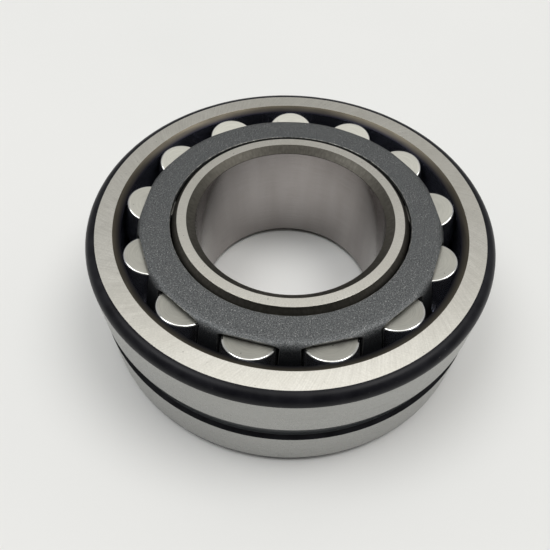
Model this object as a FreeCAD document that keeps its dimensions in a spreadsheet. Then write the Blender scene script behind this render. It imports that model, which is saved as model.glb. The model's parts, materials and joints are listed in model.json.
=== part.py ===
"""Spherical roller bearing: two rings, a guide ring, two window cages and two rows of barrel rollers.

The origin is the bearing's centre and +Z is its axis. Every size is a cell of the sheet "dims".
The two roller rows are mirror images in the plane z = 0, turned by half a pitch to each other.
"""
import FreeCAD
import Part
import Sketcher
import math
import os

DIMENSIONS = {
    "outside_diameter": 190.0,
    "bore_diameter": 90.0,
    "bearing_width": 64.0,
    # outer ring
    "raceway_radius": 84.4,
    "outer_corner_radial": 4.9,
    "outer_corner_axial": 4.6,
    "outer_face_inner_radius": 82.2,
    "lead_in_depth": 2.2,
    "groove_width": 11.1,
    "groove_depth": 2.0,
    "groove_flank": 1.1,
    "oil_hole_diameter": 6.0,
    "oil_hole_count": 3,
    # rollers
    "roller_diameter": 25.0,
    "roller_length": 23.0,
    "roller_profile_radius": 82.0,
    "roller_corner": 0.9,
    "roller_count": 13,
    "contact_angle": 13.0,
    "running_gap": 0.1,
    # inner ring
    "inner_profile_radius": 84.0,
    "inner_face_outer_radius": 53.2,
    "bore_corner_radial": 3.8,
    "bore_corner_axial": 3.0,
    "shoulder_bevel_depth": 3.0,
    # guide ring
    "guide_bore_gap": 0.36,
    "guide_outer_radius": 73.5,
    "guide_end_gap": 0.45,
    # cages
    "sheet_thickness": 2.0,
    "cage_offset": 2.4,
    "cage_reach": 14.5,
    "cage_bend_radius": 3.2,
    "flange_inner_radius": 56.5,
    "flange_sink": 1.4,
    "window_width": 25.4,
    "window_end_gap": 0.3,
    "window_chord_radius": 70.3,
}

FIRST_ROLLER_AZIMUTH = 90.0


class Size:
    """A size known both as a number and as a formula of the sheet's cells."""

    def __init__(self, value, text):
        self.value = value
        self.text = text

    def combine(self, other, symbol, value):
        text = other.text if isinstance(other, Size) else repr(float(other))
        return Size(value, "(%s %s %s)" % (self.text, symbol, text))

    def __add__(self, other):
        return self.combine(other, "+", self.value + number(other))

    def __sub__(self, other):
        return self.combine(other, "-", self.value - number(other))

    def __mul__(self, other):
        return self.combine(other, "*", self.value * number(other))

    def __truediv__(self, other):
        return self.combine(other, "/", self.value / number(other))

    def __neg__(self):
        return Size(-self.value, "(0 - %s)" % self.text)


def number(size):
    return size.value if isinstance(size, Size) else float(size)


def root(size):
    return Size(math.sqrt(size.value), "sqrt(%s)" % size.text)


def sine(angle):
    return Size(math.sin(math.radians(angle.value)), "sin(%s * 1 deg)" % angle.text)


def cosine(angle):
    return Size(math.cos(math.radians(angle.value)), "cos(%s * 1 deg)" % angle.text)


doc = FreeCAD.newDocument("SphericalRollerBearing")
sheet = doc.addObject("Spreadsheet::Sheet", "dims")
for row, (alias, size) in enumerate(DIMENSIONS.items(), start=1):
    sheet.set("A%d" % row, alias)
    sheet.set("B%d" % row, str(size))
    sheet.setAlias("B%d" % row, alias)
doc.recompute()


def dim(alias):
    return Size(float(DIMENSIONS[alias]), "dims." + alias)


def start_body(label):
    body = doc.addObject("PartDesign::Body", label)
    body.Label = label
    return body


def origin_feature(body, role):
    return next(item for item in body.Origin.OriginFeatures if item.Role == role)


def hold(sketch, kind, places, size):
    """Add a dimension to the sketch and bind it to the size's formula."""
    index = sketch.addConstraint(Sketcher.Constraint(kind, *places, number(size)))
    sketch.setExpression("Constraints[%d]" % index, size.text)


def start_sketch(body, name, plane):
    sketch = body.newObject("Sketcher::SketchObject", name)
    sketch.AttachmentSupport = (origin_feature(body, plane), [""])
    sketch.MapMode = "FlatFace"
    return sketch


def vector(point):
    return FreeCAD.Vector(number(point[0]), number(point[1]), 0)


def arc_curve(start, end, radius, centre):
    """The short arc from start to end about centre."""
    middle = (start + end) / 2 - centre
    return Part.Arc(start, centre + middle.normalize() * number(radius), end)


def outline(body, name, points, arcs=None):
    """A closed sketch in the XZ plane, where each corner's radius and height are bound dimensions.

    arcs maps the index of a corner to (radius, centre) of the arc that leaves it.
    """
    arcs = arcs or {}
    sketch = start_sketch(body, name, "XZ_Plane")
    ends = []
    for index, corner in enumerate(points):
        start = vector(corner)
        end = vector(points[(index + 1) % len(points)])
        if index in arcs:
            radius, centre = arcs[index]
            curve = arc_curve(start, end, radius, vector(centre))
        else:
            curve = Part.LineSegment(start, end)
        edge = sketch.addGeometry(curve)
        first = 1 if (sketch.getPoint(edge, 1) - start).Length < 1e-6 else 2
        ends.append((edge, first, 3 - first))
    for index, (edge, first, last) in enumerate(ends):
        next_edge, next_first, next_last = ends[(index + 1) % len(ends)]
        sketch.addConstraint(Sketcher.Constraint("Coincident", edge, last, next_edge, next_first))
    for index, (edge, first, last) in enumerate(ends):
        for kind, axis, size in (("DistanceX", -2, points[index][0]), ("DistanceY", -1, points[index][1])):
            if number(size) == 0:
                sketch.addConstraint(Sketcher.Constraint("PointOnObject", edge, first, axis))
            else:
                hold(sketch, kind, (-1, 1, edge, first), size)
        if index in arcs:
            hold(sketch, "Radius", (edge,), arcs[index][0])
    return sketch


def revolve(body, sketch):
    feature = body.newObject("PartDesign::Revolution", "Revolution")
    feature.Profile = sketch
    feature.ReferenceAxis = (sketch, ["V_Axis"])
    feature.Angle = 360
    sketch.Visibility = False
    return feature


def polar_pattern(body, feature, count):
    pattern = body.newObject("PartDesign::PolarPattern", "Pattern")
    pattern.Originals = [feature]
    pattern.Axis = (origin_feature(body, "Z_Axis"), [""])
    pattern.Angle = 360
    pattern.setExpression("Occurrences", count.text)
    body.Tip = pattern
    return pattern


def mirrored(points):
    """The points, followed by their mirror images in z = 0 in reverse order."""
    return points + [(r, -z) for r, z in reversed(points)]


# Shared geometry of the upper row, in the half plane through the bearing's axis. Along the contact
# line, at the contact angle above the plane z = 0, "reach" is the distance from the centre; "rise" is
# the distance along the roller's axis, which is square to that line and leans inwards at the top.
alpha = dim("contact_angle")
HALF_WIDTH = dim("bearing_width") / 2
PITCH_REACH = dim("raceway_radius") - dim("running_gap") - dim("roller_diameter") / 2
HALF_ROLLER = dim("roller_length") / 2


def row_point(reach, rise):
    """Radius and height of the point at a reach and rise."""
    return (cosine(alpha) * reach - sine(alpha) * rise, sine(alpha) * reach + cosine(alpha) * rise)


def make_outer_ring():
    """Ring with a spherical raceway, rounded outer corners, an oil groove and three oil holes."""
    body = start_body("outer_ring")
    radius = dim("outside_diameter") / 2
    corner_in = dim("outer_corner_radial")
    corner_down = dim("outer_corner_axial")
    corner_radius = (corner_in * corner_in + corner_down * corner_down) / (corner_in * 2)
    corner_height = HALF_WIDTH - corner_down
    groove_edge = dim("groove_width") / 2
    raceway_end = HALF_WIDTH - dim("lead_in_depth")
    sphere = dim("raceway_radius")
    raceway_end_radius = root(sphere * sphere - raceway_end * raceway_end)
    points = mirrored([
        (raceway_end_radius, raceway_end),
        (dim("outer_face_inner_radius"), HALF_WIDTH),
        (radius - corner_in, HALF_WIDTH),
        (radius, corner_height),
        (radius, groove_edge),
        (radius - dim("groove_depth"), groove_edge - dim("groove_flank")),
    ])
    upper_centre = (radius - corner_radius, corner_height)
    lower_centre = (radius - corner_radius, -corner_height)
    arcs = {
        2: (corner_radius, upper_centre),
        8: (corner_radius, lower_centre),
        11: (sphere, (0, 0)),
    }
    revolve(body, outline(body, "Section", points, arcs))

    hole_sketch = start_sketch(body, "HoleSection", "XZ_Plane")
    circle = hole_sketch.addGeometry(Part.Circle(FreeCAD.Vector(0, 0, 0), FreeCAD.Vector(0, 0, 1), 3))
    hole_sketch.addConstraint(Sketcher.Constraint("Coincident", circle, 3, -1, 1))
    hold(hole_sketch, "Diameter", (circle,), dim("oil_hole_diameter"))
    hole = body.newObject("PartDesign::Pocket", "OilHole")
    hole.Profile = hole_sketch
    hole.setExpression("Length", radius.text)
    polar_pattern(body, hole, dim("oil_hole_count"))
    return body


def make_inner_ring():
    """Ring with two concave raceways, a plain land between them and low shoulders at its ends."""
    body = start_body("inner_ring")
    bore = dim("bore_diameter") / 2
    reach = PITCH_REACH - dim("roller_diameter") / 2 - dim("running_gap")
    profile = dim("inner_profile_radius")
    centre_reach = reach + profile
    end_reach = centre_reach - root(profile * profile - HALF_ROLLER * HALF_ROLLER)
    raceway_top = row_point(end_reach, HALF_ROLLER)
    raceway_foot = row_point(end_reach, -HALF_ROLLER)
    centre = row_point(centre_reach, dim("running_gap") * 0)
    points = mirrored([
        (bore, HALF_WIDTH - dim("bore_corner_axial")),
        (bore + dim("bore_corner_radial"), HALF_WIDTH),
        (dim("inner_face_outer_radius"), HALF_WIDTH),
        (raceway_top[0], HALF_WIDTH - dim("shoulder_bevel_depth")),
        raceway_top,
        raceway_foot,
    ])
    arcs = {4: (profile, centre), 6: (profile, (centre[0], -centre[1]))}
    revolve(body, outline(body, "Section", points, arcs))
    return body


def make_guide_ring():
    """Loose ring between the rows; its coned faces follow the rollers' end faces."""
    body = start_body("guide_ring")
    reach = PITCH_REACH - dim("roller_diameter") / 2 - dim("running_gap")
    profile = dim("inner_profile_radius")
    end_reach = reach + profile - root(profile * profile - HALF_ROLLER * HALF_ROLLER)
    inner = row_point(end_reach, -HALF_ROLLER)[0] + dim("guide_bore_gap")
    outer = dim("guide_outer_radius")

    def half_height(radius):
        """Height of the rollers' end plane at that radius, less the end gap."""
        return (sine(alpha) * radius - HALF_ROLLER) / cosine(alpha) - dim("guide_end_gap")

    points = mirrored([(inner, half_height(inner)), (outer, half_height(outer))])
    revolve(body, outline(body, "Section", points))
    return body


def make_cage(label, side, azimuth):
    """Pressed window cage: a flat flange, a bend and a coned wall with one window for each roller.

    side is 1 for the upper row and -1 for the lower row.
    """
    body = start_body(label)
    thick = dim("sheet_thickness")
    bend = dim("cage_bend_radius")
    wall_inner = PITCH_REACH + dim("cage_offset")
    wall_outer = wall_inner + thick
    flange_top = HALF_WIDTH - dim("flange_sink")
    flange_edge = dim("flange_inner_radius")
    bend_height = flange_top - bend
    bend_radius_at = (wall_outer - bend - sine(alpha) * bend_height) / cosine(alpha)

    def on_bend(radius):
        """Where the bend of that radius meets the coned wall."""
        return (bend_radius_at + cosine(alpha) * radius, bend_height + sine(alpha) * radius)

    reach = dim("cage_reach")
    points = [
        (flange_edge, flange_top),
        (bend_radius_at, flange_top),
        on_bend(bend),
        row_point(wall_outer, -reach),
        row_point(wall_inner, -reach),
        on_bend(bend - thick),
        (bend_radius_at, flange_top - thick),
        (flange_edge, flange_top - thick),
    ]
    window_rise = HALF_ROLLER + dim("window_end_gap")
    low = wall_inner - thick
    high = wall_outer + thick
    chord = dim("window_chord_radius")
    chord_height = (window_rise + sine(alpha) * chord) / cosine(alpha)
    above = HALF_WIDTH + thick
    window = [
        row_point(low, -window_rise),
        row_point(high, -window_rise),
        (row_point(high, -window_rise)[0], above),
        (chord, above),
        (chord, chord_height),
        row_point(low, window_rise),
    ]
    bend_centre = (bend_radius_at, bend_height)
    if side < 0:
        points = [(r, -z) for r, z in points]
        window = [(r, -z) for r, z in window]
        bend_centre = (bend_radius_at, -bend_height)
    arcs = {1: (bend, bend_centre), 5: (bend - thick, bend_centre)}
    revolve(body, outline(body, "Section", points, arcs))
    cut = body.newObject("PartDesign::Pocket", "Window")
    cut.Profile = outline(body, "WindowSection", window)
    cut.SideType = "Symmetric"
    cut.setExpression("Length", dim("window_width").text)
    polar_pattern(body, cut, dim("roller_count"))
    body.Placement = FreeCAD.Placement(FreeCAD.Vector(), FreeCAD.Rotation(azimuth, 0, 0))
    return body


def make_roller(label, side, azimuth):
    """Symmetrical barrel roller, turned about its own axis and then stood in its pocket."""
    body = start_body(label)
    profile = dim("roller_profile_radius")
    corner = dim("roller_corner")
    waist = profile - dim("roller_diameter") / 2
    barrel_end = HALF_ROLLER - corner
    barrel_end_radius = root(profile * profile - barrel_end * barrel_end) - waist
    points = [
        (Size(0.0, "0"), -HALF_ROLLER),
        (barrel_end_radius - corner, -HALF_ROLLER),
        (barrel_end_radius, -barrel_end),
        (barrel_end_radius, barrel_end),
        (barrel_end_radius - corner, HALF_ROLLER),
        (Size(0.0, "0"), HALF_ROLLER),
    ]
    corner_centre = barrel_end_radius - corner
    arcs = {
        1: (corner, (corner_centre, -barrel_end)),
        2: (profile, (-waist, 0)),
        3: (corner, (corner_centre, barrel_end)),
    }
    revolve(body, outline(body, "Section", points, arcs))
    height = sine(alpha) * PITCH_REACH * side
    radius = cosine(alpha) * PITCH_REACH
    place = "placement(vector(%s * cos(%f deg); %s * sin(%f deg); %s); rotation(%f; %s; 0))" % (
        radius.text, azimuth, radius.text, azimuth, height.text, azimuth, (alpha * -side).text)
    body.setExpression("Placement", place)
    return body


parts = [make_outer_ring(), make_inner_ring(), make_guide_ring()]
pitch_angle = 360.0 / DIMENSIONS["roller_count"]
for row_name, side, first_azimuth in (
    ("upper", 1, FIRST_ROLLER_AZIMUTH),
    ("lower", -1, FIRST_ROLLER_AZIMUTH + pitch_angle / 2),
):
    parts.append(make_cage("cage_" + row_name, side, first_azimuth))
    for index in range(DIMENSIONS["roller_count"]):
        label = "roller_%s_%02d" % (row_name, index + 1)
        parts.append(make_roller(label, side, first_azimuth + index * pitch_angle))
doc.recompute()

for item in doc.Objects:
    if "Invalid" in item.State or "Error" in item.State:
        raise RuntimeError("%s did not compute: %s" % (item.Name, item.State))
os.makedirs("parts", exist_ok=True)
for part in parts:
    shape = part.Shape
    if shape.isNull() or not shape.isValid() or len(shape.Solids) != 1:
        raise RuntimeError(part.Label + " is not one valid solid")
    print("%-18s %9.0f mm3 %3d faces" % (part.Label, shape.Volume, len(shape.Faces)))
    shape.exportStep("parts/%s.step" % part.Label)
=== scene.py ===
import functools
import json
import math

import bmesh
import bpy
from mathutils import Matrix, Vector

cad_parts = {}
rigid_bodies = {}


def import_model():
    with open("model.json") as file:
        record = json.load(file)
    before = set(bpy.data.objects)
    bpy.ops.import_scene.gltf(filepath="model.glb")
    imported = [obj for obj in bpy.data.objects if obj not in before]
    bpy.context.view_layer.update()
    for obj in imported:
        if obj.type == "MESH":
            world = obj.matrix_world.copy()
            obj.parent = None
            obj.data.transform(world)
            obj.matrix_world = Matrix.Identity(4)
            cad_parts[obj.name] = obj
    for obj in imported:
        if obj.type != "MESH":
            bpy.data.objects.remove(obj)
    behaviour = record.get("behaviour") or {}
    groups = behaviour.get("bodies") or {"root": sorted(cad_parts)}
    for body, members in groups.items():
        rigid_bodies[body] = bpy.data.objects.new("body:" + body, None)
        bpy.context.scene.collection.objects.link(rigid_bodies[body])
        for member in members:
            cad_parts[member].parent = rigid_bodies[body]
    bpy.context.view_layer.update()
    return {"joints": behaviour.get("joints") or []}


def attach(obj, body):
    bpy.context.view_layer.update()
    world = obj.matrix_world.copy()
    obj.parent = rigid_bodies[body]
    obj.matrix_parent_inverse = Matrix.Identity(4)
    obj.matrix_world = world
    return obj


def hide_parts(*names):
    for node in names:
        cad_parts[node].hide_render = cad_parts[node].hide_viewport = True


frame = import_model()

MM = 0.001


# ---------------------------------------------------------------- sizes in millimetres, angles in radians
OUTER_RADIUS, HALF_WIDTH = 95.0, 32.0
CORNER_RADIAL, CORNER_AXIAL = 4.9, 4.6
FACE_INNER_RADIUS = 82.2
RACEWAY_RADIUS = 84.4
LEAD_IN = 2.2
GROOVE_WIDTH, GROOVE_DEPTH, GROOVE_FLANK = 11.1, 2.0, 1.1
OIL_HOLE_RADIUS, OIL_HOLE_FLARE = 3.0, 0.5
OIL_HOLE_AZIMUTHS = (90, 210, 330)      # in degrees
WELD_GAP = 0.001              # points closer than this after drilling become one

BORE_RADIUS = 45.0
BORE_CORNER_RADIAL, BORE_CORNER_AXIAL = 3.8, 3.0
INNER_FACE_RADIUS = 53.2
SHOULDER_BEVEL = 3.0

CONTACT_ANGLE = math.radians(13)
ROLLER_RADIUS, ROLLER_LENGTH = 12.5, 23.0
ROLLER_PROFILE, ROLLER_CORNER = 82.0, 0.9
INNER_PROFILE = 84.0
RUNNING_GAP = 0.1
ROLLER_COUNT = 13
ROLLER_TURN_STEP = 2.4        # own turn from one roller to the next, so that no two look alike

GUIDE_BORE_GAP, GUIDE_OUTER_RADIUS, GUIDE_END_GAP = 0.36, 73.5, 0.45

SHEET, EDGE_ROUNDING = 2.0, 0.28
CAGE_OFFSET, CAGE_REACH, CAGE_BEND = 2.4, 14.5, 3.2
FLANGE_INNER_RADIUS, FLANGE_SINK = 56.5, 1.4
WINDOW_WIDTH, WINDOW_END_GAP, WINDOW_CHORD = 25.4, 0.3, 70.3

FLOOR_GAP = 0.02              # keeps the floor clear of the lower faces

PITCH_REACH = RACEWAY_RADIUS - RUNNING_GAP - ROLLER_RADIUS
INNER_RACE_REACH = PITCH_REACH - ROLLER_RADIUS - RUNNING_GAP
HALF_ROLLER = ROLLER_LENGTH / 2
WINDOW_RISE = HALF_ROLLER + WINDOW_END_GAP
SIN_A, COS_A = math.sin(CONTACT_ANGLE), math.cos(CONTACT_ANGLE)

OUTER_SEGMENTS, INNER_SEGMENTS, GUIDE_SEGMENTS = 288, 256, 192
ROLLER_SEGMENTS, HOLE_SEGMENTS = 72, 32
CREASE_ANGLE = math.radians(38)
NOISE_LOW, NOISE_HIGH = 0.3, 0.7      # nearly all of a noise lies between these
GROUND_GRAIN = 1500.0                 # noise cells per metre in the grain of ground steel


def row_point(reach, rise):
    """Radius and height at a reach along the contact line and a rise along the roller's axis."""
    return COS_A * reach - SIN_A * rise, SIN_A * reach + COS_A * rise


def add(name, data):
    """A new object in the scene."""
    added = bpy.data.objects.new(name, data)
    bpy.context.scene.collection.objects.link(added)
    return added


def shade(color, share):
    """The same colour at a share of its brightness."""
    return tuple(share * c for c in color)


# ---------------------------------------------------------------- materials
class Shader:
    """A procedural material: a Principled shader and short calls that add the nodes feeding it."""

    def __init__(self, name, color, metallic, roughness, **values):
        self.material = bpy.data.materials.new(name)
        self.material.use_nodes = True
        self.material.diffuse_color = (*color, 1)
        self.tree = self.material.node_tree
        self.surface = next(n for n in self.tree.nodes if n.type == "BSDF_PRINCIPLED")
        self.set("Base Color", (*color, 1))
        self.set("Metallic", metallic)
        self.set("Roughness", roughness)
        for socket, value in values.items():
            self.set(socket.replace("_", " "), value)

    def set(self, socket, value):
        """Feed one of the shader's own sockets."""
        self.plug(self.surface.inputs[socket], value)

    def plug(self, socket, value):
        """Link the value to a socket if it comes from a node, or else set it there."""
        if isinstance(value, bpy.types.NodeSocket):
            self.tree.links.new(value, socket)
        else:
            socket.default_value = value

    def node(self, kind, output, inputs, **settings):
        """Add a node, feed its inputs and give back one of its outputs."""
        node = self.tree.nodes.new(kind)
        for key, value in settings.items():
            setattr(node, key, value)
        for key, value in inputs.items():
            self.plug(node.inputs[key], value)
        return node.outputs[output]

    def math(self, operation, *values):
        return self.node("ShaderNodeMath", 0, dict(enumerate(values)), operation=operation)

    def times(self, first, second):
        return self.math("MULTIPLY", first, second)

    def plus(self, first, second):
        return self.math("ADD", first, second)

    def object_place(self):
        """The place on the piece, in its own frame."""
        return self.node("ShaderNodeTexCoord", "Object", {})

    def polar(self):
        """Azimuth in radians, radius and height in millimetres, about the object's own Z axis."""
        split = self.tree.nodes.new("ShaderNodeSeparateXYZ")
        self.plug(split.inputs[0], self.object_place())
        x, y, z = split.outputs
        azimuth = self.math("ARCTAN2", y, x)
        square = self.plus(self.times(x, x), self.times(y, y))
        radius = self.times(self.math("SQRT", square), 1 / MM)
        return azimuth, radius, self.times(z, 1 / MM)

    def vector(self, x, y, z=0.0):
        return self.node("ShaderNodeCombineXYZ", 0, {0: x, 1: y, 2: z})

    def noise(self, place, scale, detail=3.0, roughness=0.55):
        inputs = {"Vector": place, "Scale": scale, "Detail": detail, "Roughness": roughness}
        return self.node("ShaderNodeTexNoise", "Fac", inputs)

    def span(self, value, low, high, to_low=0.0, to_high=1.0):
        """The value stretched from one span to another, and held at the new span's ends."""
        inputs = {"Value": value, "From Min": low, "From Max": high}
        inputs.update({"To Min": to_low, "To Max": to_high})
        return self.node("ShaderNodeMapRange", 0, inputs)

    def vary(self, noise, to_low=0.0, to_high=1.0):
        """A value that follows a noise over its usual span."""
        return self.span(noise, NOISE_LOW, NOISE_HIGH, to_low, to_high)

    def mix(self, amount, first, second):
        """A blend of two colours, each a tuple or a socket."""
        node = self.tree.nodes.new("ShaderNodeMix")
        node.data_type = "RGBA"
        amount_socket, first_socket, second_socket = (node.inputs[index] for index in (0, 6, 7))
        self.plug(amount_socket, amount)
        for socket, color in ((first_socket, first), (second_socket, second)):
            self.plug(socket, color if isinstance(color, bpy.types.NodeSocket) else (*color, 1))
        return node.outputs[2]

    def bump(self, height, strength, distance_mm):
        """Small relief, drawn by shading alone."""
        inputs = {"Height": height, "Strength": strength, "Distance": distance_mm * MM}
        self.set("Normal", self.node("ShaderNodeBump", 0, inputs))


def ground_face():
    """Ground side faces: fine slanted hatch lines across the ring, soft clouds and a few specks."""
    look = Shader("ground_face", (0.66, 0.64, 0.59), 1.0, 0.34)
    azimuth, radius, _ = look.polar()

    def hatch(closeness, lean, length, detail):
        """Lines across the ring: how close they lie, how far they lean, and how soon they end."""
        across = look.plus(look.times(azimuth, closeness), look.times(radius, lean))
        return look.noise(look.vector(across, look.times(radius, length)), 1.0, detail)

    one_way = look.times(hatch(129.0, 0.93, 0.10, 4), 0.7)
    other_way = look.times(hatch(94.6, -0.99, 0.12, 3), 0.3)
    lines = look.plus(one_way, other_way)
    cloud = look.noise(look.object_place(), 45.0, 3)
    tone = look.mix(look.span(lines, 0.36, 0.64), (0.60, 0.585, 0.535), (0.73, 0.715, 0.66))
    tone = look.mix(look.span(cloud, 0.35, 0.75, 0.0, 0.4), tone, (0.58, 0.56, 0.49))
    grain = look.noise(look.object_place(), GROUND_GRAIN, 2)
    tone = look.mix(look.vary(grain, 0.0, 0.5), tone, (0.50, 0.485, 0.435))
    speck = look.noise(look.object_place(), 900.0, 1)
    look.set("Base Color", look.mix(look.span(speck, 0.76, 0.80, 0.0, 0.75), tone, (0.10, 0.09, 0.08)))
    look.set("Roughness", look.vary(lines, 0.31, 0.41))
    look.bump(lines, 0.16, 0.03)
    return look.material


def ground_round(name, base, streak, roughness, bands):
    """Ground cylinders: very fine lines round the axis, and soft bands of tone that run along it; in the
    bore the bands are strong and stand as painted reflection streaks.
    """
    look = Shader(name, base, 1.0, roughness)
    azimuth, _, height = look.polar()
    lines = look.noise(look.vector(look.times(azimuth, 3.0), look.times(height, 4.0)), 1.0, 4)
    band = look.noise(look.vector(look.times(azimuth, 3.2), look.times(height, 0.012)), 1.0, 3, 0.5)
    grain = look.noise(look.object_place(), GROUND_GRAIN, 2)
    tone = look.mix(look.vary(lines), streak, base)
    # darker bands along the axis: grinding tone, and in the bore painted reflection streaks
    tone = look.mix(look.span(band, 0.36, 0.66, 0.0, bands), tone, shade(streak, 0.72))
    look.set("Base Color", tone)
    look.set("Roughness", look.vary(grain, roughness - 0.05, roughness + 0.06))
    look.bump(lines, 0.15, 0.02)
    return look.material


def black_oxide():
    """Blackened turned corners and groove: satin black with faint rings and small worn specks."""
    look = Shader("black_oxide", (0.008, 0.008, 0.010), 0.0, 0.30, Specular_IOR_Level=0.14)
    azimuth, radius, height = look.polar()
    cloud = look.noise(look.object_place(), 130.0, 4)
    tone = look.mix(look.span(cloud, 0.35, 0.7), (0.005, 0.005, 0.007), (0.012, 0.012, 0.015))
    speck = look.noise(look.object_place(), 700.0, 2)
    look.set("Base Color", look.mix(look.span(speck, 0.74, 0.80, 0.0, 0.5), tone, (0.16, 0.15, 0.14)))
    look.set("Roughness", look.vary(cloud, 0.27, 0.42))
    across = look.times(look.plus(radius, height), 3.0)
    rings = look.noise(look.vector(look.times(azimuth, 2.0), across), 1.0, 2)
    look.bump(rings, 0.12, 0.02)
    return look.material


def turned_groove():
    """Floor of the oil groove: a thin blue-grey oxide that still shines."""
    look = Shader("turned_groove", (0.030, 0.034, 0.038), 0.3, 0.36, Specular_IOR_Level=0.5)
    azimuth, _, height = look.polar()
    rings = look.noise(look.vector(look.times(azimuth, 2.0), look.times(height, 3.0)), 1.0, 2)
    look.set("Base Color", look.mix(look.vary(rings), (0.022, 0.026, 0.029), (0.042, 0.048, 0.054)))
    look.bump(rings, 0.12, 0.02)
    return look.material


def lead_in():
    """Bevel into the raceway: a painted brown highlight at the face edge that fades to painted shade
    towards the raceway, with soft smears.
    """
    look = Shader("lead_in", (0.07, 0.062, 0.047), 0.85, 0.36, Specular_IOR_Level=0.1)
    azimuth, radius, _ = look.polar()
    fade_width = 3.0
    smears = look.noise(look.vector(look.times(azimuth, 5.0), look.times(radius, 0.6)), 1.0, 2)
    # painted light: brown highlight at the face edge, fading to painted shade towards the raceway
    outwards = look.span(radius, FACE_INNER_RADIUS - fade_width, FACE_INNER_RADIUS)
    tone = look.mix(outwards, (0.010, 0.010, 0.016), (0.125, 0.110, 0.082))
    look.set("Base Color", look.mix(look.vary(smears, 0.0, 0.4), tone, (0.010, 0.010, 0.010)))
    return look.material


def turned_steel():
    """Turned bevels of the inner ring: dull brownish steel with chatter marks."""
    look = Shader("turned_steel", (0.13, 0.125, 0.11), 1.0, 0.42)
    azimuth, radius, height = look.polar()
    chatter = look.noise(look.vector(look.times(azimuth, 42.0), look.times(height, 0.6)), 1.0, 3)
    across = look.times(look.math("SUBTRACT", radius, height), 3.5)
    rings = look.noise(look.vector(azimuth, across), 1.0, 2)
    tone = look.mix(look.span(chatter, 0.35, 0.7), (0.085, 0.08, 0.068), (0.12, 0.113, 0.098))
    look.set("Base Color", tone)
    look.set("Roughness", look.vary(rings, 0.34, 0.5))
    look.bump(rings, 0.3, 0.04)
    return look.material


def polished(name, base, roughness, metallic=1.0):
    """Superfinished rolling surfaces: near mirrors with a slight oil haze."""
    look = Shader(name, base, metallic, roughness)
    azimuth, _, height = look.polar()
    haze = look.noise(look.object_place(), 90.0, 3)
    lines = look.noise(look.vector(look.times(azimuth, 1.5), look.times(height, 3.0)), 1.0, 3)
    look.set("Base Color", look.mix(look.span(haze, 0.35, 0.7), shade(base, 0.82), base))
    look.set("Roughness", look.vary(haze, roughness * 0.8, roughness * 1.5))
    look.bump(lines, 0.05, 0.01)
    return look.material


def phosphate():
    """Cage sheet: grey phosphate coat with a sandy grain, painted near black where it turns down: painted
    shade on the coned wall that faces out and down.
    """
    look = Shader("phosphate", (0.085, 0.092, 0.09), 0.55, 0.5)
    _, radius, _ = look.polar()
    painted_shade_start, painted_shade_full = WINDOW_CHORD + 0.5, WINDOW_CHORD + 2.9
    grain = look.noise(look.object_place(), 1700.0, 3, 0.75)
    fine = look.noise(look.object_place(), 2300.0, 1)
    cloud = look.noise(look.object_place(), 60.0, 3)
    tone = look.mix(look.span(grain, 0.34, 0.66), (0.016, 0.018, 0.019), (0.158, 0.164, 0.167))
    tone = look.mix(look.vary(cloud, 0.0, 0.25), tone, (0.085, 0.093, 0.093))
    tone = look.mix(look.span(fine, 0.63, 0.72, 0.0, 0.7), tone, (0.40, 0.40, 0.39))
    # painted shade: past the bend the coat's colour goes near black, for the little light the coned wall
    # gets
    painted_shade = look.span(radius, painted_shade_start, painted_shade_full, 0.0, 0.85)
    look.set("Base Color", look.mix(painted_shade, tone, (0.012, 0.013, 0.015)))
    look.set("Roughness", look.vary(grain, 0.56, 0.40))
    look.bump(grain, 0.45, 0.10)
    return look.material


def worn_edge():
    """Edges of the cage sheet, where the coat has rubbed to brighter steel."""
    look = Shader("worn_edge", (0.22, 0.22, 0.21), 0.85, 0.36)
    wear = look.noise(look.object_place(), 420.0, 4, 0.65)
    look.set("Base Color", look.mix(look.span(wear, 0.40, 0.62), (0.07, 0.075, 0.073), (0.34, 0.34, 0.32)))
    look.set("Roughness", look.vary(wear, 0.48, 0.30))
    look.bump(wear, 0.25, 0.05)
    return look.material


def roller_end():
    """Roller end faces: matt ground steel with faint rings about the roller's axis."""
    look = Shader("roller_end", (0.64, 0.63, 0.57), 1.0, 0.36)
    azimuth, radius, _ = look.polar()
    rings = look.noise(look.vector(azimuth, look.times(radius, 2.6)), 1.0, 3)
    cloud = look.noise(look.object_place(), 120.0, 3)
    tone = look.mix(look.span(rings, 0.35, 0.65), (0.46, 0.455, 0.41), (0.535, 0.527, 0.475))
    speck = look.noise(look.object_place(), 620.0, 1)
    look.set("Base Color", look.mix(look.span(speck, 0.77, 0.80, 0.0, 0.8), tone, (0.12, 0.11, 0.10)))
    look.set("Roughness", look.vary(cloud, 0.43, 0.54))
    look.bump(rings, 0.12, 0.02)
    return look.material


def sintered():
    """Guide ring: dark sintered iron with open pores."""
    look = Shader("sintered", (0.10, 0.10, 0.10), 0.7, 0.5)
    pores = look.noise(look.object_place(), 1100.0, 3, 0.7)
    look.set("Base Color", look.mix(look.span(pores, 0.35, 0.65), (0.05, 0.05, 0.05), (0.16, 0.16, 0.155)))
    look.set("Roughness", look.vary(pores, 0.6, 0.42))
    look.bump(pores, 0.3, 0.08)
    return look.material


def floor_paper():
    """Pale matt paper with faint clouds and fibres."""
    look = Shader("floor_paper", (0.79, 0.79, 0.775), 0.0, 0.75, Specular_IOR_Level=0.25)
    cloud = look.noise(look.object_place(), 3.0, 3)
    look.set("Base Color", look.mix(look.vary(cloud), (0.775, 0.78, 0.765), (0.805, 0.805, 0.79)))
    fibre = look.noise(look.object_place(), 900.0, 2)
    look.bump(fibre, 0.05, 0.05)
    return look.material


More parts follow.
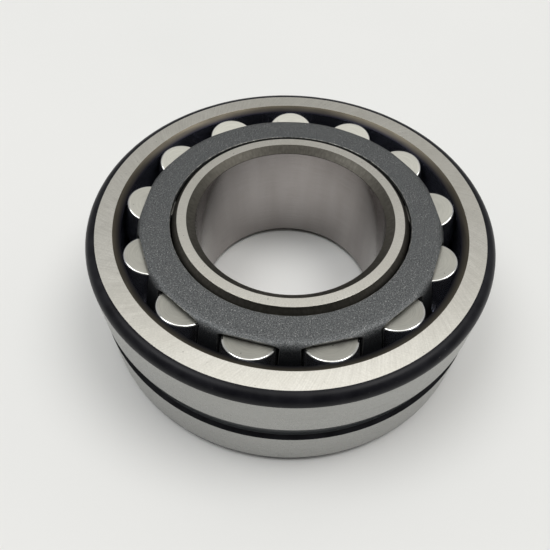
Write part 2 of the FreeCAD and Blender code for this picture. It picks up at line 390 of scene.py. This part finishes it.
FINISHES = {
    "face": ground_face(),
    "outside": ground_round("ground_outside", (0.40, 0.40, 0.385), (0.33, 0.33, 0.315), 0.30, 0.12),
    # strong bands here: painted reflection streaks in the bore
    "bore": ground_round("ground_bore", (0.42, 0.395, 0.385), (0.34, 0.315, 0.305), 0.17, 0.42),
    "groove": turned_groove(),
    "lead": lead_in(),
    "oxide": black_oxide(),
    "turned": turned_steel(),
    "raceway": polished("polished_raceway", (0.33, 0.35, 0.46), 0.13, 0.75),
    "barrel": polished("polished_barrel", (0.52, 0.52, 0.53), 0.14, 0.97),
    "rim": polished("polished_rim", (0.86, 0.86, 0.83), 0.16),
    "end": roller_end(),
    "phosphate": phosphate(),
    "edge": worn_edge(),
    "sintered": sintered(),
}


# ---------------------------------------------------------------- turned shapes
# A profile corner is (radius, height, fillet, finish of the stretch that leaves it).
def arc(centre, radius, start, end, count, finish):
    """Profile corners along an arc, from start to end in degrees, without its last point."""
    points = []
    for index in range(count):
        angle = math.radians(start + (end - start) * index / count)
        r = centre[0] + radius * math.cos(angle)
        z = centre[1] + radius * math.sin(angle)
        points.append((r, z, 0, finish))
    return points


def angle_at(centre, point):
    """Direction in degrees from a centre to a point."""
    return math.degrees(math.atan2(point[1] - centre[1], point[0] - centre[0]))


def eased(corners):
    """Profile points (radius, height, finish), with a small arc for each corner that has a fillet."""
    fillet_steps = 4
    count = len(corners)
    points = []
    for index, (r, z, fillet, finish) in enumerate(corners):
        if fillet == 0:
            points.append((r, z, finish))
            continue
        here = Vector((r, z))
        before = (Vector(corners[index - 1][:2]) - here).normalized()
        after = (Vector(corners[(index + 1) % count][:2]) - here).normalized()
        half = before.angle(after) / 2
        centre = here + (before + after).normalized() * (fillet / math.sin(half))
        start = here + before * (fillet / math.tan(half)) - centre
        end = here + after * (fillet / math.tan(half)) - centre
        turn = start.angle_signed(end)
        for step in range(fillet_steps + 1):
            spoke = start.copy()
            spoke.rotate(Matrix.Rotation(-turn * step / fillet_steps, 2))
            own = corners[index - 1][3] if step < fillet_steps / 2 else finish
            points.append((centre.x + spoke.x, centre.y + spoke.y, own))
    return points


def lathe(name, corners, segments, closed=True):
    """A mesh made by turning a profile round Z; points on the axis become poles."""
    points = eased(corners)
    names = sorted({finish for r, z, finish in points})
    mesh = bpy.data.meshes.new(name)
    for finish in names:
        mesh.materials.append(FINISHES[finish])
    verts, rings = [], []
    axis_radius = 1e-6
    for r, z, finish in points:
        steps = 1 if r < axis_radius else segments
        rings.append((len(verts), steps))
        for step in range(steps):
            turn = 2 * math.pi * step / segments
            verts.append((r * math.cos(turn) * MM, r * math.sin(turn) * MM, z * MM))
    faces, slots = [], []
    last = len(points) if closed else len(points) - 1
    for index in range(last):
        first, first_steps = rings[index]
        second, second_steps = rings[(index + 1) % len(points)]
        for step in range(segments):
            after = (step + 1) % segments
            if first_steps == 1:
                face = (first, second + after, second + step)
            elif second_steps == 1:
                face = (first + step, first + after, second)
            else:
                face = (first + step, first + after, second + after, second + step)
            faces.append(face)
            slots.append(names.index(points[index][2]))
    mesh.from_pydata(verts, [], faces)
    mesh.polygons.foreach_set("material_index", slots)
    mesh.update()
    return mesh


def finished(mesh, make_modifiers=None):
    """The mesh after its modifiers and weighted normals, smooth shaded with sharp creases."""
    mesh.shade_smooth()
    mesh.set_sharp_from_angle(angle=CREASE_ANGLE)
    work = add("work", mesh)
    if make_modifiers:
        make_modifiers(work)
    weighted = work.modifiers.new("weighted", "WEIGHTED_NORMAL")
    weighted.keep_sharp = True
    graph = bpy.context.evaluated_depsgraph_get()
    result = bpy.data.meshes.new_from_object(work.evaluated_get(graph), depsgraph=graph)
    bpy.data.objects.remove(work)
    return result


def place(name, mesh, body, slot, matrix=None):
    """Put a piece in the scene, riding on its body in place of the CAD node of the same name."""
    piece = add(name + "_finish", mesh)
    if matrix:
        piece.matrix_world = matrix
    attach(piece, body)
    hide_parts(body)


# ---------------------------------------------------------------- rings
def outer_ring():
    """Outer ring: rounded corners, slanted groove with oil holes, and the spherical raceway."""
    corner_steps, race_steps = 10, 40
    corner_radius = (CORNER_RADIAL ** 2 + CORNER_AXIAL ** 2) / (2 * CORNER_RADIAL)
    corner_height = HALF_WIDTH - CORNER_AXIAL
    corner_centre = (OUTER_RADIUS - corner_radius, corner_height)
    corner_edge = (OUTER_RADIUS - CORNER_RADIAL, HALF_WIDTH)
    corner_turn = angle_at(corner_centre, corner_edge)
    groove_edge = GROOVE_WIDTH / 2
    groove_foot = groove_edge - GROOVE_FLANK
    groove_radius = OUTER_RADIUS - GROOVE_DEPTH
    race_height = HALF_WIDTH - LEAD_IN
    race_turn = math.degrees(math.asin(race_height / RACEWAY_RADIUS))
    low_centre = (corner_centre[0], -corner_height)
    corners = [
        (OUTER_RADIUS, -corner_height, 0, "outside"),
        (OUTER_RADIUS, -groove_edge, 0.2, "oxide"),
        (groove_radius, -groove_foot, 0.6, "groove"),
        (groove_radius, groove_foot, 0.6, "oxide"),
        (OUTER_RADIUS, groove_edge, 0.2, "outside"),
        *arc(corner_centre, corner_radius, 0, corner_turn, corner_steps, "oxide"),
        (*corner_edge, 0.15, "face"),
        (FACE_INNER_RADIUS, HALF_WIDTH, 0.2, "lead"),
        *arc((0, 0), RACEWAY_RADIUS, race_turn, -race_turn, race_steps, "raceway"),
        (RACEWAY_RADIUS * math.cos(math.radians(race_turn)), -race_height, 0, "lead"),
        (FACE_INNER_RADIUS, -HALF_WIDTH, 0.2, "face"),
        (corner_edge[0], -HALF_WIDTH, 0.15, "oxide"),
        *arc(low_centre, corner_radius, -corner_turn, 0, corner_steps, "oxide")[1:],
    ]
    mesh = lathe("outer_ring_finish", corners, OUTER_SEGMENTS)

    def drill(work):
        """Cut the flared oil holes from the groove to the raceway."""
        overshoot = 3.0
        start = RACEWAY_RADIUS - overshoot
        end = OUTER_RADIUS + overshoot
        hole = [
            (0, start, 0, "oxide"),
            (OIL_HOLE_RADIUS, start, 0, "oxide"),
            (OIL_HOLE_RADIUS, groove_radius - OIL_HOLE_FLARE, 0, "oxide"),
            (OIL_HOLE_RADIUS + end - groove_radius, end - OIL_HOLE_FLARE, 0, "oxide"),
            (0, end - OIL_HOLE_FLARE, 0, "oxide"),
        ]
        for azimuth in OIL_HOLE_AZIMUTHS:
            cutter_mesh = lathe("drill", hole, HOLE_SEGMENTS, closed=False)
            cutter_mesh.transform(Matrix.Rotation(math.radians(90), 4, "Y"))
            cutter_mesh.transform(Matrix.Rotation(math.radians(azimuth), 4, "Z"))
            cutter = add("drill", cutter_mesh)
            cut = work.modifiers.new("oil_hole", "BOOLEAN")
            cut.operation = "DIFFERENCE"
            cut.solver = "EXACT"
            cut.object = cutter
        weld = work.modifiers.new("weld", "WELD")
        weld.merge_threshold = WELD_GAP * MM

    done = finished(mesh, drill)
    for cutter in [o for o in bpy.data.objects if o.name.startswith("drill")]:
        bpy.data.objects.remove(cutter)
    return done


def race_end_reach():
    """Reach of the hollow inner raceway at the ends of its rollers."""
    return INNER_RACE_REACH + INNER_PROFILE - math.sqrt(INNER_PROFILE ** 2 - HALF_ROLLER ** 2)


def inner_ring():
    """Inner ring: bevelled bore and shoulders, and two hollow raceways that meet in the middle."""
    race_steps = 20
    centre = row_point(INNER_RACE_REACH + INNER_PROFILE, 0)
    top, foot = row_point(race_end_reach(), HALF_ROLLER), row_point(race_end_reach(), -HALF_ROLLER)
    face_edge = (INNER_FACE_RADIUS, HALF_WIDTH)
    bore_edge = BORE_RADIUS + BORE_CORNER_RADIAL
    shoulder = HALF_WIDTH - SHOULDER_BEVEL
    bore_height = HALF_WIDTH - BORE_CORNER_AXIAL
    low_centre = (centre[0], -centre[1])

    def race(about, start, end):
        first, last = angle_at(about, start) % 360, angle_at(about, end) % 360
        return arc(about, INNER_PROFILE, first, last, race_steps, "raceway")

    corners = [
        (bore_edge, -HALF_WIDTH, 0.2, "face"),
        (INNER_FACE_RADIUS, -HALF_WIDTH, 0.15, "turned"),
        (top[0], -shoulder, 0.3, "turned"),
        *race(low_centre, (top[0], -top[1]), (foot[0], -foot[1])),
        (foot[0], -foot[1], 0, "raceway"),
        *race(centre, foot, top),
        (*top, 0, "turned"),
        (top[0], shoulder, 0.3, "turned"),
        (*face_edge, 0.15, "face"),
        (bore_edge, HALF_WIDTH, 0.2, "turned"),
        (BORE_RADIUS, bore_height, 0.35, "bore"),
        (BORE_RADIUS, -bore_height, 0.35, "turned"),
    ]
    return finished(lathe("inner_ring_finish", corners, INNER_SEGMENTS))


def guide_ring():
    """Guide ring: its sides are coned, a small gap from the rollers' ends."""
    inner = row_point(race_end_reach(), -HALF_ROLLER)[0] + GUIDE_BORE_GAP

    def half_height(radius):
        return (SIN_A * radius - HALF_ROLLER) / COS_A - GUIDE_END_GAP

    low, high = half_height(inner), half_height(GUIDE_OUTER_RADIUS)
    corners = [
        (inner, -low, 0.3, "sintered"),
        (GUIDE_OUTER_RADIUS, -high, 0.5, "sintered"),
        (GUIDE_OUTER_RADIUS, high, 0.5, "sintered"),
        (inner, low, 0.3, "sintered"),
    ]
    return finished(lathe("guide_ring_finish", corners, GUIDE_SEGMENTS))


def roller():
    """Barrel roller about its own Z axis, with rounded rims and flat ends."""
    barrel_steps, rim_steps = 18, 6
    rim_band = 1.2
    half = HALF_ROLLER
    waist = ROLLER_PROFILE - ROLLER_RADIUS
    barrel_end = half - ROLLER_CORNER
    turn = math.degrees(math.asin(barrel_end / ROLLER_PROFILE))
    edge = math.sqrt(ROLLER_PROFILE ** 2 - barrel_end ** 2) - waist
    flat = edge - ROLLER_CORNER
    corners = [
        (0, -half, 0, "end"),
        (flat - rim_band, -half, 0, "end"),
        *arc((flat, -barrel_end), ROLLER_CORNER, -90, 0, rim_steps, "rim"),
        *arc((-waist, 0), ROLLER_PROFILE, -turn, turn, barrel_steps, "barrel"),
        *arc((flat, barrel_end), ROLLER_CORNER, 0, 90, rim_steps, "rim"),
        (flat, half, 0, "end"),
        (flat - rim_band, half, 0, "end"),
        (0, half, 0, "end"),
    ]
    return finished(lathe("roller_finish", corners, ROLLER_SEGMENTS, closed=False))


# ---------------------------------------------------------------- cages
class CageSheet:
    """The middle of the cage's sheet as a curve in the half plane: flange, bend and coned wall."""

    def __init__(self):
        wall_outer = PITCH_REACH + CAGE_OFFSET + SHEET
        self.top = HALF_WIDTH - FLANGE_SINK - SHEET / 2
        self.bend = CAGE_BEND - SHEET / 2
        self.bend_height = HALF_WIDTH - FLANGE_SINK - CAGE_BEND
        self.bend_at = (wall_outer - CAGE_BEND - SIN_A * self.bend_height) / COS_A
        self.flange = self.bend_at - FLANGE_INNER_RADIUS
        self.bend_turn = math.pi / 2 - CONTACT_ANGLE
        self.bend_length = self.bend * self.bend_turn
        wall_top = (self.bend_at + COS_A * self.bend, self.bend_height + SIN_A * self.bend)
        top_rise = COS_A * wall_top[1] - SIN_A * wall_top[0]
        self.wall_top = wall_top
        self.length = self.flange + self.bend_length + top_rise + CAGE_REACH

    def point(self, travel, lift=0.0):
        """Radius and height at a distance from the flange's inner edge, lifted off mid-sheet."""
        if travel <= self.flange:
            return FLANGE_INNER_RADIUS + travel, self.top + lift
        travel -= self.flange
        if travel <= self.bend_length:
            slope = math.pi / 2 - travel / self.bend
            reach = self.bend + lift
            return self.bend_at + reach * math.cos(slope), self.bend_height + reach * math.sin(slope)
        travel -= self.bend_length
        radius = self.wall_top[0] + SIN_A * travel + COS_A * lift
        return radius, self.wall_top[1] - COS_A * travel + SIN_A * lift

    def find(self, goal, rule, lift=0.0):
        """The travel where rule, which grows along the sheet, reaches the goal."""
        halvings = 36         # far finer than the sheet needs
        low, high = 0.0, self.length
        for _ in range(halvings):
            middle = (low + high) / 2
            if rule(*self.point(middle, lift)) < goal:
                low = middle
            else:
                high = middle
        return low

    def window_start(self, turn):
        """Where the window begins, so that both faces of the sheet clear the roller's end."""

        def outwards(r, z):
            return r * math.cos(turn)

        def below_end(r, z):
            return SIN_A * r * math.cos(turn) - COS_A * z

        faces = (-SHEET / 2, SHEET / 2)
        upright = [self.find(WINDOW_CHORD, outwards, lift) for lift in faces]
        end_plane = [self.find(-WINDOW_RISE, below_end, lift) for lift in faces]
        return min(upright + end_plane)

    def window_end(self, turn):
        """Where the window ends, just past the roller's other end."""
        return self.find(WINDOW_RISE, lambda r, z: SIN_A * r * math.cos(turn) - COS_A * z)


def cage():
    """Upper cage, first window on +X: flange rows, bars between windows, and the end ring."""
    sheet = CageSheet()
    flange_rows, bar_rows, end_rows = 9, 18, 3
    window_columns, bar_columns = 18, 8
    pitch = 2 * math.pi / ROLLER_COUNT

    def half_turn(travel):
        return math.asin(WINDOW_WIDTH / 2 / sheet.point(travel)[0])

    def at_side(limit):
        """The travel at the window's side, where its turn depends on the radius there."""
        rounds = 8            # enough for the travel to settle
        travel = sheet.length
        for _ in range(rounds):
            travel = limit(half_turn(travel))
        return travel

    side_start, side_end = at_side(sheet.window_start), at_side(sheet.window_end)

    def column_turn(column, edge):
        """Turn of a column from the window's middle, where edge is the turn of the window's side."""
        if column <= window_columns:
            return edge * (2 * column / window_columns - 1)
        share = (column - window_columns) / bar_columns
        return edge + (pitch - 2 * edge) * share

    def travel_at(row, turn, edge):
        """Distance of a row along the sheet, at a turn from the window's middle."""
        inside = min(abs(turn), edge)
        start, end = sheet.window_start(inside), sheet.window_end(inside)
        if row <= flange_rows:
            return start * row / flange_rows
        if row <= flange_rows + bar_rows:
            return start + (end - start) * (row - flange_rows) / bar_rows
        return end + (sheet.length - end) * (row - flange_rows - bar_rows) / end_rows

    work = bmesh.new()
    columns = window_columns + bar_columns
    grid = {}

    @functools.cache
    def spot(row, column):
        """Turn, radius and height of a grid point of the first sector."""
        share = min(max((row - flange_rows) / bar_rows, 0), 1)
        edge = half_turn(side_start + (side_end - side_start) * share)
        turn = column_turn(column, edge)
        return turn, *sheet.point(travel_at(row, turn, edge))

    def vertex(row, column):
        sector, inner = divmod(column, columns)
        key = (row, column % (columns * ROLLER_COUNT))
        if key not in grid:
            turn, r, z = spot(row, inner)
            azimuth = turn + sector * pitch
            place_at = Vector((r * math.cos(azimuth), r * math.sin(azimuth), z))
            grid[key] = work.verts.new(place_at * MM)
        return grid[key]

    for row in range(flange_rows + bar_rows + end_rows):
        in_bars = flange_rows <= row < flange_rows + bar_rows
        for column in range(columns * ROLLER_COUNT):
            if in_bars and column % columns < window_columns:
                continue
            near = [vertex(row, column), vertex(row + 1, column)]
            far = [vertex(row + 1, column + 1), vertex(row, column + 1)]
            work.faces.new(near + far)
    mesh = bpy.data.meshes.new("cage_finish")
    work.to_mesh(mesh)
    work.free()
    mesh.materials.append(FINISHES["phosphate"])
    mesh.materials.append(FINISHES["edge"])

    def press(work_object):
        """Give the sheet its thickness and rub its edges round."""
        thick = work_object.modifiers.new("sheet", "SOLIDIFY")
        thick.thickness = SHEET * MM
        thick.offset = 0
        thick.use_even_offset = True
        bevel = work_object.modifiers.new("edges", "BEVEL")
        bevel.width = EDGE_ROUNDING * MM
        bevel.segments = 3
        bevel.limit_method = "ANGLE"
        bevel.angle_limit = math.radians(50)
        bevel.material = 1

    return finished(mesh, press)


# ---------------------------------------------------------------- assembly
def build():
    """Place the rings, then each row's cage and rollers where the joints say."""
    place("outer_ring", outer_ring(), "outer_ring", "ring_steel")
    place("inner_ring", inner_ring(), "inner_ring", "ring_steel")
    place("guide_ring", guide_ring(), "guide_ring", "guide_steel")
    roller_mesh, cage_mesh = roller(), cage()
    joints = {joint["child"]: joint for joint in frame["joints"]}
    for row, side in (("upper", 1), ("lower", -1)):
        rollers = [f"roller_{row}_{number:02d}" for number in range(1, ROLLER_COUNT + 1)]
        first = Vector(joints[rollers[0]]["pos_m"])
        spin = Matrix.Rotation(math.atan2(first.y, first.x), 4, "Z")
        flip = Matrix.Identity(4) if side > 0 else Matrix.Rotation(math.pi, 4, "X")
        place("cage_" + row, cage_mesh, "cage_" + row, "cage_steel", spin @ flip)
        for number, name in enumerate(rollers):
            joint = joints[name]
            own_turn = Matrix.Rotation(number * ROLLER_TURN_STEP * side, 4, "Z")
            lean = Vector((0, 0, 1)).rotation_difference(Vector(joint["axis"])).to_matrix().to_4x4()
            stand = Matrix.Translation(Vector(joint["pos_m"])) @ lean @ own_turn
            place(name, roller_mesh, name, "roller_steel", stand)


def add_floor():
    """A pale floor, 8 m across, just under the bearing."""
    mesh = bpy.data.meshes.new("floor")
    half_side = 4.0           # in metres
    z = (-HALF_WIDTH - FLOOR_GAP) * MM
    corners = [(x * half_side, y * half_side, z) for x, y in ((-1, -1), (1, -1), (1, 1), (-1, 1))]
    mesh.from_pydata(corners, [], [(0, 1, 2, 3)])
    mesh.materials.append(floor_paper())
    floor = add("floor", mesh)


def add_light(name, towards, softness, strength, color):
    """A far, wide light that comes from the given direction; softness is its width in degrees."""
    lamp = bpy.data.lights.new(name, "SUN")
    lamp.angle = math.radians(softness)
    lamp.energy = strength
    lamp.color = color
    light = add(name, lamp)
    light.rotation_mode = "QUATERNION"
    light.rotation_quaternion = (-Vector(towards)).to_track_quat("-Z", "Y")


def add_world():
    """A pale room: bright overhead, greyer at the horizon and dim in front of the bearing.

    The camera sees the room at one steady level, brighter than it lights the bearing.
    """
    world = bpy.data.worlds.new("room")
    bpy.context.scene.world = world
    world.use_nodes = True
    nodes, links = world.node_tree.nodes, world.node_tree.links
    background = next(n for n in nodes if n.type == "BACKGROUND")
    split = nodes.new("ShaderNodeSeparateXYZ")
    links.new(nodes.new("ShaderNodeTexCoord").outputs["Generated"], split.inputs[0])
    ramp = nodes.new("ShaderNodeValToRGB")
    stops = ((0.0, 0.62), (0.35, 0.58), (0.60, 0.56), (0.84, 0.57), (0.92, 2.1))
    while len(ramp.color_ramp.elements) < len(stops):
        ramp.color_ramp.elements.new(1.0)
    for element, (rise, level) in zip(ramp.color_ramp.elements, stops):
        element.position = rise
        element.color = (level, level * 0.995, level * 0.98, 1)
    links.new(split.outputs["Z"], ramp.inputs[0])
    links.new(ramp.outputs[0], background.inputs["Color"])
    dim_front = nodes.new("ShaderNodeMapRange")
    dim_front.interpolation_type = "SMOOTHSTEP"
    links.new(split.outputs["Y"], dim_front.inputs["Value"])
    limits = {"From Min": -0.85, "From Max": 0.2, "To Min": 0.10, "To Max": 0.80}
    for socket, value in limits.items():
        dim_front.inputs[socket].default_value = value
    backdrop_level = 1.4
    seen = nodes.new("ShaderNodeLightPath").outputs["Is Camera Ray"]
    backdrop = nodes.new("ShaderNodeMix")
    backdrop.inputs["B"].default_value = backdrop_level
    links.new(seen, backdrop.inputs["Factor"])
    links.new(dim_front.outputs[0], backdrop.inputs["A"])
    links.new(backdrop.outputs["Result"], background.inputs["Strength"])


def add_camera():
    """The viewpoint is in front of the bearing and looks down on it, with a slight roll."""
    stand = (-0.0067, -0.1751, 0.2153)      # in metres
    tilt, roll = math.radians(53), math.radians(1.34)
    camera_data = bpy.data.cameras.new("camera")
    camera_data.lens = 35.15
    camera_data.sensor_width = 36
    camera_data.clip_start = 0.01
    camera = add("camera", camera_data)
    sine, cosine = math.sin(roll), math.cos(roll)
    right = Vector((cosine, sine * math.sin(tilt), sine * math.cos(tilt)))
    up = Vector((-sine, cosine * math.sin(tilt), cosine * math.cos(tilt)))
    back = right.cross(up)
    axes = Matrix((right, up, back)).transposed().to_4x4()
    camera.matrix_world = Matrix.Translation(stand) @ axes
    bpy.context.scene.camera = camera


build()
add_floor()
add_world()
add_light("left_window", (-0.44, 0.03, 0.90), 30, 0.78, (0.98, 0.99, 1.0))
add_light("right_lamp", (0.44, 0.05, 0.90), 30, 0.92, (1.0, 0.99, 0.975))
add_camera()
bpy.context.scene.view_settings.view_transform = "Standard"
